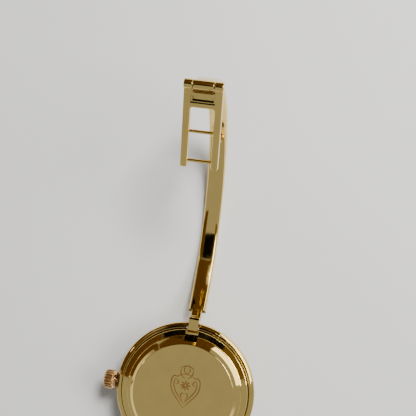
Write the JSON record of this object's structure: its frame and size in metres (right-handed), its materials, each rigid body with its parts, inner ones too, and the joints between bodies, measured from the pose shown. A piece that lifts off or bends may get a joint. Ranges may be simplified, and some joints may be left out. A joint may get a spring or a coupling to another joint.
{
  "type": "bangle wristwatch",
  "caption": "Lady's round quartz watch on a hinged rigid bangle, lying open with its case back up; ladder clasp at one arm's tip and a fold-over hook lever at the other.",
  "frame": {"origin": "centre of the flat outer face of the case back", "axes": "+Z out of the case back towards the wrist, +Y towards 12 o'clock and the ladder arm, crown on -X"},
  "size_m": [0.0282, 0.1116, 0.0362],
  "materials": {
    "gold_case": "polished gold plate",
    "gold_band": "polished gold plate",
    "gold_crown": "polished rose gold plate",
    "crystal": "polished mineral glass",
    "dial": "satin ivory lacquer",
    "markers": "polished gold",
    "hands": "polished gold",
    "movement": "fine brushed",
    "steel": "fine turned steel",
    "battery": "polished",
    "board": "matte solder mask",
    "chip": "matte epoxy",
    "copper": "enamelled wire",
    "ring": "matte",
    "rubber": "matte"
  },
  "bodies": {
    "case": {"mid_case": "gold_case", "bezel": "gold_case", "crystal": "crystal", "crystal_gasket": "ring", "case_back": "gold_case", "case_back_gasket": "rubber", "case_hinge_pins": "steel", "dial": "dial", "hour_markers": "markers", "movement_ring": "ring", "main_plate": "movement", "train_bridge": "movement", "bridge_screws": "steel", "battery": "battery", "battery_clamp": "steel", "circuit_board": "board", "driver_chip": "chip", "quartz_can": "battery", "coil": "copper", "stator": "steel", "crown_tube": "gold_crown"},
    "ladder_arm": {"ladder_arm": "gold_band"},
    "ladder": {"ladder_frame": "gold_band", "ladder_rungs": "gold_band", "ladder_hinge_pin": "gold_band"},
    "hook_arm": {"hook_arm": "gold_band"},
    "hook_lever": {"hook_lever": "gold_band", "lever_hinge_pin": "gold_band"},
    "crown_seal": {"crown_gasket": "rubber"},
    "crown": {"crown": "gold_crown", "setting_stem": "steel", "sliding_pinion": "steel"},
    "minute_train": {"centre_wheel": "movement", "minute_hand": "hands"},
    "hour_train": {"hour_wheel": "movement", "hour_hand": "hands"},
    "minute_wheel": {"minute_wheel": "movement"},
    "intermediate_wheel": {"intermediate_wheel": "movement"},
    "rotor": {"rotor": "steel"}
  },
  "joints": [
    {"name": "ladder_arm_hinge", "type": "hinge", "parent": "case", "child": "ladder_arm", "pos_m": [0, 0.0117, -0.00305], "axis": [1, 0, 0], "range_deg": [0, 68.18]},
    {"name": "hook_arm_hinge", "type": "hinge", "parent": "case", "child": "hook_arm", "pos_m": [0, -0.0117, -0.00305], "axis": [-1, 0, 0], "range_deg": [0, 68.18]},
    {"name": "ladder_swing", "type": "hinge", "parent": "ladder_arm", "child": "ladder", "pos_m": [0, 0.05314, 0.02526], "axis": [-1, 0, 0], "range_deg": [0, 92]},
    {"name": "lever_fold", "type": "hinge", "parent": "hook_arm", "child": "hook_lever", "pos_m": [0, -0.05431, 0.0119], "axis": [-1, 0, 0], "range_deg": [0, 95]},
    {"name": "crown_pull", "type": "slide", "parent": "case", "child": "crown_seal", "axis": [-1, 0, 0], "range_m": [0, 0.0006]},
    {"name": "crown_turn", "type": "hinge", "parent": "crown_seal", "child": "crown", "pos_m": [-0.013, 0, -0.00305], "axis": [-1, 0, 0], "continuous": true},
    {"name": "minute_turn", "type": "hinge", "parent": "case", "child": "minute_train", "pos_m": [0, 0, -0.0025], "axis": [0, 0, 1], "continuous": true},
    {"name": "hour_turn", "type": "hinge", "parent": "case", "child": "hour_train", "pos_m": [0, 0, -0.0025], "axis": [0, 0, 1], "continuous": true},
    {"name": "minute_wheel_turn", "type": "hinge", "parent": "case", "child": "minute_wheel", "pos_m": [-0.0016, 0, -0.0025], "axis": [0, 0, 1], "continuous": true},
    {"name": "intermediate_turn", "type": "hinge", "parent": "case", "child": "intermediate_wheel", "pos_m": [-0.00023, -0.00263, -0.0025], "axis": [0, 0, 1], "continuous": true},
    {"name": "rotor_turn", "type": "hinge", "parent": "case", "child": "rotor", "pos_m": [-0.0022, -0.00401, -0.0025], "axis": [0, 0, 1], "continuous": true}
  ],
  "couplings": [
    {"joint": "hour_turn", "follows": "minute_turn", "ratio": 0.083333},
    {"joint": "minute_wheel_turn", "follows": "minute_turn", "ratio": -0.33333},
    {"joint": "intermediate_turn", "follows": "minute_turn", "ratio": -10},
    {"joint": "rotor_turn", "follows": "minute_turn", "ratio": 90}
  ]
}
